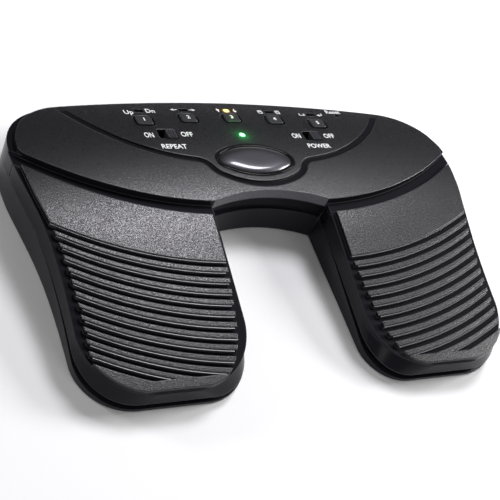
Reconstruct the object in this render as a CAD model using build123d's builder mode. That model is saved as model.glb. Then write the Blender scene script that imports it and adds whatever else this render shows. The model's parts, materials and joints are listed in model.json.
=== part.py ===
from build123d import *
import os
from math import asin, atan, cos, degrees, radians, sin, sqrt, tan

os.makedirs("parts", exist_ok=True)

# Page turner pedal: a wedge shaped tray with a cover over its rear half, and two foot pedals
# that hinge in front of the cover, one on each side of a notch in the front edge.
# Millimetres, +X to the user's right, +Y to the rear, +Z up, origin under the middle.

# Plan of the housing
overall_width = 232
overall_depth = 157.2
front_half_width = 106.3
front_corner_radius = 24
rear_corner_radius = 30
rear_corner_setback = 37
side_rise_shares = (0.24, 0.47, 0.73)
side_swell_shares = (0.06, 0.26, 0.70)
notch_half_width = 30.4
notch_corner_radius = 20
arch_corner_y = 6.9
arch_apex_y = 13
wall = 2.2

# Side view of the housing
foot_proud = 0.8
floor_thickness = 2
cover_apex_height = 28.4
cover_apex_y = 13
cover_radius = 215
tread_front_height = 14.65
tread_slope = 8.66
tread_bend_y = -10
tread_rear_radius = 172
tread_arc_sweep = 17
shoulder_drop = 2.2
skin = 2.2
groove_drop = 3.6
rim_rear_height = 9.5
overrun = 5
fit_gap = 0.3
seat_gap = 0.05

# Hinge of the pedals and the seam that opens towards the front
hinge_y = 4
hinge_height = 15
seam_height = 14.95
seam_gap = 0.15
skirt_front_height = 5.6
skirt_top_radius = 30
pedal_travel = 2.1
travel_margin = 0.12
hinge_pin_radius = 1.5
running_clearance = 0.05
pin_seat_gap = 0.02
lug_width = 5
lug_radius = 4
lug_side_gap = 0.4
post_inner_gap = 6.9
post_outer_gap = 6.4
pin_overhang = 1

# Groove between the cover and the pedals
hinge_arc_radius = 151
hinge_arc_x = 23
hinge_arc_front = 1
groove_width = 6
parting_gap = 0.35
cover_edge = 3.4
cover_corner_radius = 6
lip_height = 5.9
lip_overhang = 1.4

# Tread of the pedals: its edge as shares of half the width and half the depth of the housing
tread_inner_rise_shares = (-0.26, -0.54, -0.795, -0.933)
tread_inner_run_shares = (0.28, 0.297, 0.330, 0.3845)
tread_outer_rise_shares = (-0.436, -0.244, -0.013, 0.186)
tread_outer_run_shares = (0.888, 0.899, 0.925, 0.956)
tread_end_run_share = 0.976
tread_end_rise_share = 0.41
tread_front_start = 56
tread_front_end = 84.6
tread_front_margin = 0.6
tread_corner_radius = 18
rib_arc_radius = 172
rib_first_y = -22.9
rib_pitch = 5.2
rib_groove_width = 2.9
rib_groove_count = 12
rib_start_angle = 271
rib_sweep = 36
rib_border = 4.2

# Return buffers and pedal switches
buffer_x = 70
buffer_y = -34
buffer_radius = 7
buffer_neck_radius = 4
buffer_height = 12
buffer_gap = 0.05
buffer_wall = 1.2
buffer_seat_height = 2
switch_x = 70
switch_y = -14
switch_board_length = 24
switch_board_width = 12
board_thickness = 1.6
switch_board_height = 9
switch_body_size = 7
switch_body_height = 5
plunger_radius = 1.6
plunger_height = 2.6
plunger_proud = 1.6
plunger_gap = 0.05
plunger_well = 1.2
pusher_radius = 3
standoff_radius = 2.5

# Control panel on the cover: places along the depth are shares of half the housing's depth
panel_share = 0.731
board_depth = 8
board_half_width = 66
board_front = 14
board_rear = 13
button_row_share = 0.821
button_row_radius = 320
button_pitch = 23.7
button_count = 5
button_width = 8.2
button_length = 6.6
button_corner = 1.2
button_gap = 0.9
button_proud = 0.6
button_height = 4.6
button_flange = 1.8
button_flange_height = 1
button_chamfer = 0.4
light_row_gap = 6.8
light_row_radius = 560
light_width = 4.4
light_length = 2.6
light_fit = 0.1
power_light_share = 0.646
power_light_radius = 1.5
knob_x = 39.2
knob_share = 0.644
knob_window_length = 7.2
knob_width = 4.6
knob_length = 6.2
knob_travel = 4
knob_side_gap = 0.5
knob_proud = 0.3
knob_ridge_count = 4
knob_ridge_width = 0.5
knob_ridge_depth = 0.4
knob_corner = 0.4
slide_body_width = 13
slide_body_length = 9
slide_body_height = 3.6
tact_size = 6
tact_height = 3.2
reset_x = 63.2
reset_share = 0.877
reset_hole_radius = 1.2
reset_pin_radius = 0.8
reset_pin_depth = 1
reset_gap = 0.3
reset_collar_radius = 1.6
panel_groove_width = 3.4
panel_groove_depth = 1.2
panel_groove_radius = 250
panel_arc_radius = 81
panel_arc_x = 17.7
panel_arc_front_share = 0.404
badge_share = 0.417
badge_half_width = 20.8
badge_half_length = 10.8
badge_end_radius = 6.4
badge_rim = 1.5
badge_depth = 1.4
badge_rim_height = 1.7
badge_dome_height = 2.6
badge_dome_radius = 30
badge_dome_long_radius = 130
badge_gap = 0.15
bulge_margin = 4.9
bulge_blend_radius = 8

# Inside the housing: places are shares of half the width and half the depth
battery_width = 52
battery_length = 34
battery_height = 5
battery_corner = 2
battery_clearance = 3
battery_wall = 1.5
battery_gap = 0.3
cell_stand = 0.3
screw_place_shares = ((-0.724, 0.769), (0.724, 0.769), (-0.362, 0.308), (0.362, 0.308))
screw_radius = 1.5
screw_length = 8
screw_head_radius = 2.8
screw_head_height = 1
boss_radius = 3.6
pilot_gap = 0.05
board_screw_shares = ((-0.91, -0.71), (0.91, -0.71), (-0.545, 0.62), (0.545, 0.62))
board_screw_length = 5
chip_shares = ((-0.21, -0.21), (0.21, -0.36), (-0.86, -0.14))
chip_sizes = (9, 7, 6)
chip_height = 1.2
socket_width = 9
socket_height = 3.2
socket_length = 8
socket_recess = 0.5
socket_stand = 0.3
socket_wall = 0.4
socket_tongue = 0.8
socket_gap = 0.4
foot_place_shares = (
    (-0.793, 0.59),
    (0.793, 0.59),
    (-0.793, -0.744),
    (0.793, -0.744),
    (-0.397, -0.769),
    (0.397, -0.769),
)
foot_radius = 7
foot_recess = 0.7

front_y = -overall_depth / 2
rear_y = overall_depth / 2
half_width = overall_width / 2
top_clear = cover_apex_height + overrun
front_corner_x = front_half_width - front_corner_radius
front_corner_y = front_y + front_corner_radius
rear_corner_x = half_width - rear_corner_radius
rear_corner_y = rear_y - rear_corner_setback
floor_top = foot_proud + floor_thickness
plunger_top = switch_board_height + board_thickness + switch_body_height + plunger_proud
rear_radius = (rear_corner_x**2 + rear_corner_setback**2 - rear_corner_radius**2) / (
    2 * (rear_corner_setback - rear_corner_radius)
)
rear_sweep = degrees(asin(rear_corner_x / (rear_radius - rear_corner_radius)))
skirt_slope = (seam_height + seam_gap - skirt_front_height) / (hinge_y - front_y)
rim_slope = skirt_slope + tan(radians(pedal_travel + travel_margin))
hinge_arc_y = hinge_arc_front + hinge_arc_radius
arc_side_y = hinge_arc_y - sqrt(hinge_arc_radius**2 - (half_width - hinge_arc_x) ** 2)
post_inner_x = notch_half_width + wall + post_inner_gap + lug_width / 2
post_outer_x = front_half_width - wall - post_outer_gap
panel_y = panel_share * rear_y
power_light_y = power_light_share * rear_y
knob_y = knob_share * rear_y
badge_y = badge_share * rear_y
reset_y = reset_share * rear_y
panel_arc_y = panel_arc_front_share * rear_y + panel_arc_radius
knob_window_width = knob_width + knob_travel + 2 * knob_side_gap
cradle_width = battery_width + 2 * battery_gap
cradle_length = battery_length + 2 * battery_gap
socket_front_y = rear_y - socket_recess - socket_length
battery_y = socket_front_y - battery_clearance - battery_wall - cradle_length / 2


def in_housing(shares):
    """Places given as shares of half the housing's width and depth."""
    return [(x_share * half_width, y_share * rear_y) for x_share, y_share in shares]


def on_board(shares):
    """Places given as shares of the main board's half width and half depth."""
    return [(u_share * board_half_width, v_share * board_rear) for u_share, v_share in shares]


def row(row_y, row_radius):
    """Places across the panel on a shallow arc that falls off to both sides."""
    middle = (button_count - 1) / 2
    places = []
    for number in range(button_count):
        x = (number - middle) * button_pitch
        places.append((x, row_y - row_radius + sqrt(row_radius**2 - x**2)))
    return places


button_places = row(button_row_share * rear_y, button_row_radius)
light_places = row(button_row_share * rear_y + light_row_gap, light_row_radius)
reset_place = (reset_x, reset_y)
screw_places = in_housing(screw_place_shares)
foot_places = in_housing(foot_place_shares)
board_screw_places = on_board(board_screw_shares)
chip_places = on_board(chip_shares)


def arch_height(y, crown, arch_radius):
    """Height at y of an arch that runs from front to rear with its crown over the cover's apex."""
    return crown - arch_radius + sqrt(arch_radius**2 - (y - cover_apex_y) ** 2)


def cover_height(y):
    """Height of the cover's arched top."""
    return arch_height(y, cover_apex_height, cover_radius)


def tread_height(y):
    """Height of the flat front part of the tread."""
    return tread_front_height + (y - front_y) * tan(radians(tread_slope))


def outline_plan(inset):
    """The waisted outline of the housing drawn in by inset, without its notch."""
    side_span = half_width - front_half_width
    side_start = front_y + skirt_top_radius
    side_run = rear_corner_y - side_start
    side = [(front_half_width - inset, side_start)]
    for rise, swell in zip(side_rise_shares, side_swell_shares):
        side.append((front_half_width + swell * side_span - inset, side_start + rise * side_run))
    side.append((half_width - inset, rear_corner_y))
    with BuildSketch() as plan:
        with BuildLine():
            Line((0, front_y + inset), (front_corner_x, front_y + inset))
            CenterArc((front_corner_x, front_corner_y), front_corner_radius - inset, 270, 90)
            Line((front_half_width - inset, front_corner_y), (front_half_width - inset, side_start))
            Spline(side, tangents=[(0, 1), (0, 1)])
            CenterArc((rear_corner_x, rear_corner_y), rear_corner_radius - inset, 0, 90 - rear_sweep)
            CenterArc((0, rear_y - rear_radius), rear_radius - inset, 90 - rear_sweep, rear_sweep)
            mirror(about=Plane.YZ)
        make_face()
    return plan.sketch


def notch_plan(inset):
    """The arch ended notch widened by inset, running out through the front."""
    half = notch_half_width + inset
    with BuildSketch() as plan:
        with BuildLine():
            Line((-half, front_y - overrun), (-half, arch_corner_y + inset))
            ThreePointArc(
                (-half, arch_corner_y + inset), (0, arch_apex_y + inset), (half, arch_corner_y + inset)
            )
            Line((half, arch_corner_y + inset), (half, front_y - overrun))
            Line((half, front_y - overrun), (-half, front_y - overrun))
        make_face()
    return plan.sketch


def housing_plan(inset):
    """The plan of the housing drawn in by inset, with its notch and the notch's rounded mouth."""
    with BuildSketch() as plan:
        add(outline_plan(inset))
        add(notch_plan(inset), mode=Mode.SUBTRACT)
        mouth = plan.vertices().group_by(Axis.Y)[0].sort_by(lambda v: abs(v.X))[0:2]
        fillet(mouth, notch_corner_radius - inset)
    return plan.sketch


def foot_plan(inset, notch_radius, corner_radius):
    """Plan of the front of the right pedal's skirt, square at the rear, with its two front corners."""
    edge_y = front_y + inset
    inner_x = notch_half_width + inset
    outer_x = front_half_width - inset
    with BuildSketch() as plan:
        with BuildLine():
            Line((inner_x, 0), (inner_x, edge_y + notch_radius))
            CenterArc((inner_x + notch_radius, edge_y + notch_radius), notch_radius, 180, 90)
            Line((inner_x + notch_radius, edge_y), (outer_x - corner_radius, edge_y))
            CenterArc((outer_x - corner_radius, edge_y + corner_radius), corner_radius, 270, 90)
            Line((outer_x, edge_y + corner_radius), (outer_x, 0))
            Line((outer_x, 0), (inner_x, 0))
        make_face()
    return plan.sketch


def prism(plan, bottom, top):
    """The plan as an upright block from bottom to top."""
    with BuildPart() as block:
        with BuildSketch(Plane.XY.offset(bottom)):
            add(plan)
        extrude(amount=top - bottom)
    return block.part


def housing_form(inset, bottom=foot_proud):
    """The housing as one solid block from bottom up."""
    return prism(housing_plan(inset), bottom, top_clear)


def skirt_form(inset):
    """The right pedal's block: its front corners slant back from the skirt's edge to the tread."""
    slant_top = tread_front_height - shoulder_drop
    low = foot_plan(inset, notch_corner_radius - inset, front_corner_radius - inset)
    high = foot_plan(inset, skirt_top_radius - inset, skirt_top_radius - inset)
    with BuildPart() as slant:
        with BuildSketch(Plane.XY.offset(skirt_front_height)):
            add(low)
        with BuildSketch(Plane.XY.offset(slant_top)):
            add(high)
        loft(ruled=True)
    front = prism(low, -overrun, skirt_front_height) + slant.part + prism(high, slant_top, top_clear)
    side_y = front_y + skirt_top_radius
    with BuildSketch() as rear_zone:
        with Locations((0, side_y)):
            Rectangle(half_width + overrun, overall_depth, align=(Align.MIN, Align.MIN))
    rear = prism(housing_plan(inset) & rear_zone.sketch, -overrun, top_clear)
    with BuildSketch() as front_zone:
        with Locations((0, side_y)):
            Rectangle(half_width + overrun, overall_depth, align=(Align.MIN, Align.MAX))
    return rear + (front & prism(front_zone.sketch, -overrun, top_clear))


def across(points, arc=None):
    """A block across the whole width whose side view is the polygon, with its top arc if there is one."""
    with BuildPart() as block:
        with BuildSketch(Plane.YZ.offset(-half_width - overrun)):
            with BuildLine():
                if arc is not None:
                    add(arc)
                Polyline(points)
            make_face()
        extrude(amount=overall_width + 2 * overrun)
    return block.part


def under_tread(drop):
    """Everything below the pedals' top surface lowered by drop."""
    start_y = front_y - overrun
    with BuildLine() as top:
        Line((start_y, tread_height(start_y) - drop), (tread_bend_y, tread_height(tread_bend_y) - drop))
        JernArc(
            (tread_bend_y, tread_height(tread_bend_y) - drop),
            (cos(radians(tread_slope)), sin(radians(tread_slope))),
            tread_rear_radius,
            -tread_arc_sweep,
        )
    end = top.line @ 1
    start_height = tread_height(start_y) - drop
    corners = [(end.X, end.Y), (end.X, -overrun), (start_y, -overrun), (start_y, start_height)]
    return across(corners, top.line)


def under_cover(drop, arch_radius=cover_radius):
    """Everything below the cover's arched top lowered by drop, or below a flatter arch."""
    start_y = front_corner_y
    end_y = rear_y + overrun
    crown = cover_apex_height - drop
    with BuildLine() as top:
        ThreePointArc(
            (start_y, arch_height(start_y, crown, arch_radius)),
            (cover_apex_y, crown),
            (end_y, arch_height(end_y, crown, arch_radius)),
        )
    corners = [
        (end_y, arch_height(end_y, crown, arch_radius)),
        (end_y, -overrun),
        (start_y, -overrun),
        (start_y, arch_height(start_y, crown, arch_radius)),
    ]
    return across(corners, top.line)


def under_rim(raised):
    """Everything below the top edge of the tray's wall, raised by the given gap."""
    start_y = front_y - overrun
    end_y = rear_y + overrun
    edge = seam_height + raised
    rear_slope = (seam_height - rim_rear_height) / (rear_y - arc_side_y)
    return across(
        [
            (start_y, -overrun),
            (start_y, edge - (hinge_y - start_y) * rim_slope),
            (hinge_y, edge),
            (arc_side_y, edge),
            (end_y, edge - (end_y - arc_side_y) * rear_slope),
            (end_y, -overrun),
            (start_y, -overrun),
        ]
    )


def under_skirt():
    """Everything below the lower edge of the pedals' skirts."""
    start_y = front_y - overrun
    end_y = rear_y + overrun
    hinge_edge = seam_height + seam_gap
    return across(
        [
            (start_y, -overrun),
            (start_y, hinge_edge - (hinge_y - start_y) * skirt_slope),
            (hinge_y, hinge_edge),
            (end_y, hinge_edge),
            (end_y, -overrun),
            (start_y, -overrun),
        ]
    )


def arc_plan(radius):
    """Plan of the cover's side of the two hinge arcs, drawn at the given radius."""
    with BuildSketch() as plan:
        with Locations((hinge_arc_x, hinge_arc_y), (-hinge_arc_x, hinge_arc_y)):
            Circle(radius)
    return plan.sketch


def edge_points(run_shares, rise_shares):
    """Points of the tread's edge from shares of half the housing's width and depth."""
    return [(run * half_width, rise * rear_y) for run, rise in zip(run_shares, rise_shares)]


def tread_plan():
    """Plan of the raised tread of the right pedal, running on under the cover's edge."""
    tread_front = front_y + tread_front_margin
    corner_y = tread_front + tread_corner_radius
    end = (tread_end_run_share * half_width, tread_end_rise_share * rear_y)
    inner = [
        *edge_points(tread_inner_run_shares, tread_inner_rise_shares),
        (tread_front_start, tread_front),
    ]
    outer = [
        (tread_front_end + tread_corner_radius, corner_y),
        *edge_points(tread_outer_run_shares, tread_outer_rise_shares),
        end,
    ]
    with BuildSketch() as plan:
        with BuildLine():
            Line((inner[0][0], end[1]), inner[0])
            Spline(inner, tangents=[(0, -1), (1, 0)])
            Line((tread_front_start, tread_front), (tread_front_end, tread_front))
            CenterArc((tread_front_end, corner_y), tread_corner_radius, 270, 90)
            Spline(outer, tangents=[(0, 1), (sin(radians(tread_slope)), 1)])
            Line(end, (inner[0][0], end[1]))
        make_face()
    return plan.sketch


def rib_band(front_edge):
    """Plan of one curved groove between two ribs, its rear edge given on the arc's middle line."""
    center = (hinge_arc_x, front_edge + rib_arc_radius)
    with BuildSketch() as band:
        with BuildLine():
            rear_edge = CenterArc(center, rib_arc_radius, rib_start_angle, rib_sweep)
            front_line = CenterArc(center, rib_arc_radius + rib_groove_width, rib_start_angle, rib_sweep)
            Line(rear_edge @ 0, front_line @ 0)
            Line(rear_edge @ 1, front_line @ 1)
        make_face()
    return band.sketch


def ribbed_plan():
    """Plan of the tread with its curved grooves left open at both ends."""
    plan = tread_plan()
    border_y = front_y + tread_front_margin + rib_border
    with BuildSketch() as field:
        with Locations((hinge_arc_x, border_y)):
            Rectangle(half_width, overall_depth / 2, align=(Align.MIN, Align.MIN))
    for number in range(rib_groove_count):
        plan = plan - (rib_band(rib_first_y - number * rib_pitch) & field.sketch)
    return plan


def oval(half_across, half_along, end_radius):
    """An oval of four tangent arcs."""
    center = half_across - end_radius
    rise = half_along - end_radius
    long_radius = (center**2 + half_along**2 - end_radius**2) / (2 * rise)
    turn = degrees(atan(center / (long_radius - half_along)))
    with BuildSketch() as shape:
        with BuildLine():
            CenterArc((center, 0), end_radius, turn - 90, 180 - 2 * turn)
            CenterArc((0, half_along - long_radius), long_radius, 90 - turn, 2 * turn)
            CenterArc((-center, 0), end_radius, turn + 90, 180 - 2 * turn)
            CenterArc((0, long_radius - half_along), long_radius, 270 - turn, 2 * turn)
        make_face()
    return shape.sketch


def badge_oval(grow):
    """The badge's oval, grown or shrunk evenly all round."""
    return oval(badge_half_width + grow, badge_half_length + grow, badge_end_radius + grow)


def panel_field(grow):
    """Plan of the control panel's own area with its bulge round the badge, grown by grow."""
    with BuildSketch() as field:
        with Locations((panel_arc_x, panel_arc_y), (-panel_arc_x, panel_arc_y)):
            Circle(panel_arc_radius + grow)
        with Locations((0, badge_y)):
            add(badge_oval(bulge_margin + grow))
        meets = [v for v in field.vertices() if abs(v.X) > panel_arc_x / 2 and v.Y < knob_y]
        meets = sorted(meets, key=lambda v: abs(panel_arc_edge(v.X) - v.Y))[0:2]
        fillet(meets, bulge_blend_radius - grow)
    return field.sketch


def panel_arc_edge(x):
    """The front edge of the panel's two big arcs."""
    return panel_arc_y - sqrt(panel_arc_radius**2 - (abs(x) - panel_arc_x) ** 2)


def corner_distance(vertex):
    """How far a corner of the cover's top lies from where the hinge arc meets the side."""
    return abs(abs(vertex.X) - half_width) + abs(vertex.Y - arc_side_y)


def panel_plane(x, y, drop=0):
    """Plane on the cover's top over the point, tilted with the cover, and sunk by drop."""
    rise = sqrt(cover_radius**2 - (y - cover_apex_y) ** 2)
    normal = (0, (y - cover_apex_y) / cover_radius, rise / cover_radius)
    return Plane(origin=(x, y, cover_height(y)), x_dir=(1, 0, 0), z_dir=normal).offset(-drop)


def board_point(x, y):
    """The point over (x, y) in the board's own directions."""
    return panel_board.to_local_coords(Vector(x, y, cover_height(y)))


def panel_spot(x, y):
    """Plane on the cover's top over the point, square to the board's direction."""
    return Plane(origin=(x, y, cover_height(y)), x_dir=(1, 0, 0), z_dir=panel_board.z_dir)


panel_board = panel_plane(0, panel_y)
badge_plane = panel_plane(0, badge_y)
barrel_bow = badge_dome_long_radius - sqrt(badge_dome_long_radius**2 - badge_half_width**2)

# Tray
post_height = hinge_height - floor_top + skin / 2
housing_block = housing_form(0)
with BuildPart() as base_housing:
    add(housing_block & under_rim(0))
    add(housing_form(wall, floor_top), mode=Mode.SUBTRACT)
    for side in (-1, 1):
        for post_x in (post_inner_x, post_outer_x):
            with BuildSketch(Plane.YZ.offset(side * post_x - lug_width / 2)):
                with Locations((hinge_y, hinge_height)):
                    Circle(lug_radius)
                with Locations((hinge_y, floor_top - skin / 2)):
                    Rectangle(2 * lug_radius, post_height, align=(Align.CENTER, Align.MIN))
            extrude(amount=lug_width)
        with BuildSketch(Plane.XY.offset(floor_top - skin / 2)):
            with Locations((side * buffer_x, buffer_y)):
                Circle(buffer_radius + buffer_wall + fit_gap)
                Circle(buffer_radius + fit_gap, mode=Mode.SUBTRACT)
        extrude(amount=buffer_seat_height + skin / 2)
        with BuildSketch(Plane.XY.offset(floor_top - skin / 2)):
            with Locations(
                (side * switch_x - switch_board_length / 3, switch_y),
                (side * switch_x + switch_board_length / 3, switch_y),
            ):
                Circle(standoff_radius)
        extrude(amount=switch_board_height - floor_top + skin / 2)
    with BuildSketch(Plane.XY.offset(floor_top - skin / 2)):
        with Locations((0, battery_y)):
            Rectangle(cradle_width + 2 * battery_wall, cradle_length + 2 * battery_wall)
            Rectangle(cradle_width, cradle_length, mode=Mode.SUBTRACT)
    extrude(amount=battery_height + skin / 2)
    for side in (-1, 1):
        with BuildSketch(Plane.YZ.offset(side * (post_inner_x + post_outer_x) / 2)):
            with Locations((hinge_y, hinge_height)):
                Circle(hinge_pin_radius + pin_seat_gap)
        extrude(amount=post_outer_x - post_inner_x, both=True, mode=Mode.SUBTRACT)
    with BuildSketch(Plane.XY.offset(foot_proud - overrun)):
        with Locations(*screw_places):
            Circle(screw_radius + fit_gap)
    extrude(amount=floor_thickness + 2 * overrun, mode=Mode.SUBTRACT)
    with BuildSketch(Plane.XY.offset(foot_proud)):
        with Locations(*screw_places):
            Circle(screw_head_radius + fit_gap)
    extrude(amount=screw_head_height, mode=Mode.SUBTRACT)
    with BuildSketch(Plane.XY.offset(foot_proud)):
        with Locations(*foot_places):
            Circle(foot_radius + fit_gap / 2)
    extrude(amount=foot_recess, mode=Mode.SUBTRACT)
    with BuildSketch(Plane.XZ.offset(-rear_y - overrun)):
        with Locations((0, floor_top + socket_stand + socket_height / 2)):
            Rectangle(socket_width + 2 * socket_gap, socket_height + 2 * socket_stand)
    extrude(amount=overrun + 2 * wall, mode=Mode.SUBTRACT)

# Cover over the rear half
with BuildSketch() as cover_top_plan:
    add(outline_plan(0).moved(Location((cover_edge, 0, 0))))
    add(outline_plan(0).moved(Location((-cover_edge, 0, 0))), mode=Mode.INTERSECT)
    add(notch_plan(0), mode=Mode.SUBTRACT)
    add(arc_plan(hinge_arc_radius - groove_width), mode=Mode.INTERSECT)
    front_corners = cover_top_plan.vertices().sort_by(corner_distance)[0:2]
    fillet(front_corners, cover_corner_radius)
with BuildSketch() as cover_cavity_plan:
    add(outline_plan(wall).moved(Location((cover_edge, 0, 0))))
    add(outline_plan(wall).moved(Location((-cover_edge, 0, 0))), mode=Mode.INTERSECT)
    add(notch_plan(wall), mode=Mode.SUBTRACT)
    add(arc_plan(hinge_arc_radius - groove_width - wall), mode=Mode.INTERSECT)
panel_band = panel_field(panel_groove_width / 2) - panel_field(-panel_groove_width / 2)
cover_block = housing_block & prism(arc_plan(hinge_arc_radius - parting_gap), 0, top_clear)
with BuildPart() as cover_shell:
    add(cover_block & under_cover(groove_drop))
    add(
        cover_block
        & prism(arc_plan(hinge_arc_radius - groove_width), 0, top_clear)
        & under_cover(shoulder_drop)
    )
    add(cover_block & prism(cover_top_plan.sketch, 0, top_clear) & under_cover(0))
    add(housing_form(wall, foot_proud - overrun) & under_cover(groove_drop + skin), mode=Mode.SUBTRACT)
    add(
        prism(cover_cavity_plan.sketch, foot_proud - overrun, top_clear) & under_cover(skin),
        mode=Mode.SUBTRACT,
    )
    add(under_rim(seam_gap), mode=Mode.SUBTRACT)
    add(
        prism(panel_band, foot_proud, top_clear) - under_cover(panel_groove_depth, panel_groove_radius),
        mode=Mode.SUBTRACT,
    )
    add(
        prism(notch_plan(lip_overhang), seam_height, top_clear) & under_cover(lip_height),
        mode=Mode.SUBTRACT,
    )

# Right pedal
with BuildPart() as pedal_hangers:
    for lug_x in (post_inner_x + lug_width + lug_side_gap, post_outer_x - lug_width - lug_side_gap):
        with BuildSketch(Plane.YZ.offset(lug_x - lug_width / 2)):
            with Locations((hinge_y, hinge_height)):
                Circle(lug_radius)
            with BuildLine():
                Polyline(
                    (hinge_y - lug_radius, hinge_height),
                    (hinge_y - 3 * lug_radius, top_clear),
                    (hinge_y - lug_radius / 2, top_clear),
                    (hinge_y - lug_radius / 2, hinge_height),
                    close=True,
                )
            make_face()
        extrude(amount=lug_width)
        with BuildSketch(Plane.YZ.offset(lug_x - lug_width)):
            with Locations((hinge_y, hinge_height)):
                Circle(hinge_pin_radius + running_clearance)
        extrude(amount=2 * lug_width, mode=Mode.SUBTRACT)
    with BuildSketch(Plane.XY.offset(floor_top + buffer_height + buffer_gap)):
        with Locations((buffer_x, buffer_y)):
            Circle(buffer_neck_radius + buffer_wall)
    extrude(amount=top_clear)
    with BuildSketch(Plane.XY.offset(plunger_top + plunger_gap)):
        with Locations((switch_x, switch_y)):
            Circle(pusher_radius)
    extrude(amount=top_clear)
    add(under_tread(shoulder_drop + skin / 2), mode=Mode.INTERSECT)
pedal_block = skirt_form(0) - prism(arc_plan(hinge_arc_radius), -overrun, top_clear)
with BuildPart() as right_pedal:
    add(pedal_block & under_tread(shoulder_drop))
    add(pedal_block & prism(ribbed_plan(), 0, top_clear) & under_tread(0))
    add(skirt_form(wall) & under_tread(shoulder_drop + skin), mode=Mode.SUBTRACT)
    add(under_skirt(), mode=Mode.SUBTRACT)
    add(pedal_hangers.part)

# Things mounted under the cover
with BuildPart() as cover_bosses:
    with BuildSketch(Plane.XY.offset(floor_top + seam_gap)):
        with Locations(*screw_places):
            Circle(boss_radius)
    extrude(amount=top_clear)
    for u, v in board_screw_places:
        with BuildSketch(panel_board.offset(-board_depth + seat_gap)):
            with Locations((u, v)):
                Circle(boss_radius)
        extrude(amount=board_depth)
    add(under_cover(skin / 2), mode=Mode.INTERSECT)
    with BuildSketch(Plane.XY.offset(floor_top)):
        with Locations(*screw_places):
            Circle(screw_radius + pilot_gap)
    extrude(amount=screw_length, mode=Mode.SUBTRACT)
    for u, v in board_screw_places:
        with BuildSketch(panel_board.offset(-board_depth)):
            with Locations((u, v)):
                Circle(screw_radius + pilot_gap)
        extrude(amount=board_screw_length, mode=Mode.SUBTRACT)

with BuildPart() as rear_cover:
    add(cover_shell.part)
    add(cover_bosses.part)
    for x, y in button_places:
        with BuildSketch(panel_spot(x, y).offset(overrun)):
            RectangleRounded(
                button_width + 2 * button_gap, button_length + 2 * button_gap, button_corner + button_gap
            )
        extrude(amount=-overrun - 2 * skin, mode=Mode.SUBTRACT)
    for x, y in light_places:
        with BuildSketch(panel_spot(x, y).offset(overrun)):
            Rectangle(light_width + 2 * light_fit, light_length + 2 * light_fit)
        extrude(amount=-overrun - 2 * skin, mode=Mode.SUBTRACT)
    for x in (-knob_x, knob_x):
        with BuildSketch(panel_spot(x, knob_y).offset(overrun)):
            RectangleRounded(knob_window_width, knob_window_length, button_corner)
        extrude(amount=-overrun - 2 * skin, mode=Mode.SUBTRACT)
    for spot, radius in (
        (panel_spot(0, power_light_y), power_light_radius + light_fit),
        (panel_spot(*reset_place), reset_hole_radius),
    ):
        with BuildSketch(spot.offset(overrun)):
            Circle(radius)
        extrude(amount=-overrun - 2 * skin, mode=Mode.SUBTRACT)
    with BuildSketch(badge_plane.offset(-badge_depth)):
        add(badge_oval(badge_gap))
    extrude(amount=overrun, mode=Mode.SUBTRACT)

with BuildPart() as badge_ring:
    with BuildSketch(badge_plane.offset(-badge_depth + seat_gap)):
        add(badge_oval(0))
        add(badge_oval(-badge_rim), mode=Mode.SUBTRACT)
    extrude(amount=badge_rim_height)

# The badge's dome is a slice of a barrel that lies across the housing
with BuildPart() as dome_barrel:
    barrel_middle = badge_dome_height - badge_dome_radius
    with BuildSketch(Plane.XZ):
        with BuildLine():
            crown = ThreePointArc(
                (-badge_half_width, barrel_middle + badge_dome_radius - barrel_bow),
                (0, badge_dome_height),
                (badge_half_width, barrel_middle + badge_dome_radius - barrel_bow),
            )
            Polyline(
                crown @ 1, (badge_half_width, barrel_middle), (-badge_half_width, barrel_middle), crown @ 0
            )
        make_face()
    revolve(axis=Axis((0, 0, barrel_middle), (1, 0, 0)))
with BuildPart() as badge_plate:
    with BuildSketch(badge_plane.offset(-badge_depth + seat_gap)):
        add(badge_oval(-badge_rim - badge_gap))
    extrude(amount=2 * badge_dome_height)
    add(
        dome_barrel.part.moved(badge_plane.offset(-badge_depth + seat_gap).location),
        mode=Mode.INTERSECT,
    )

with BuildPart() as main_board:
    with BuildSketch(panel_board.offset(-board_depth - board_thickness)):
        with Locations((0, (board_rear - board_front) / 2)):
            Rectangle(2 * board_half_width, board_rear + board_front)
        with Locations(*board_screw_places):
            Circle(screw_radius + fit_gap / 2, mode=Mode.SUBTRACT)
    extrude(amount=board_thickness)

with BuildPart() as board_components:
    for (u, v), size in zip(chip_places, chip_sizes):
        with BuildSketch(panel_board.offset(-board_depth + seat_gap)):
            with Locations((u, v)):
                Rectangle(size, size)
        extrude(amount=chip_height)

with BuildPart() as board_screws:
    for u, v in board_screw_places:
        with BuildSketch(panel_board.offset(-board_depth - board_thickness - seat_gap)):
            with Locations((u, v)):
                Circle(screw_head_radius)
        extrude(amount=-screw_head_height)
        with BuildSketch(panel_board.offset(-board_depth - board_thickness - seat_gap)):
            with Locations((u, v)):
                Circle(screw_radius)
        extrude(amount=board_thickness + board_screw_length - seat_gap)

with BuildPart() as panel_switches:
    for x, y in (*button_places, reset_place):
        spot = board_point(x, y)
        with BuildSketch(panel_board.offset(-board_depth + seat_gap)):
            with Locations((spot.X, spot.Y)):
                Rectangle(tact_size, tact_size)
        extrude(amount=tact_height - seat_gap)

with BuildPart() as slide_switches:
    for x in (-knob_x, knob_x):
        spot = board_point(x, knob_y)
        with BuildSketch(panel_board.offset(-board_depth + seat_gap)):
            with Locations((spot.X, spot.Y)):
                Rectangle(slide_body_width, slide_body_length)
        extrude(amount=slide_body_height - seat_gap)

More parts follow.
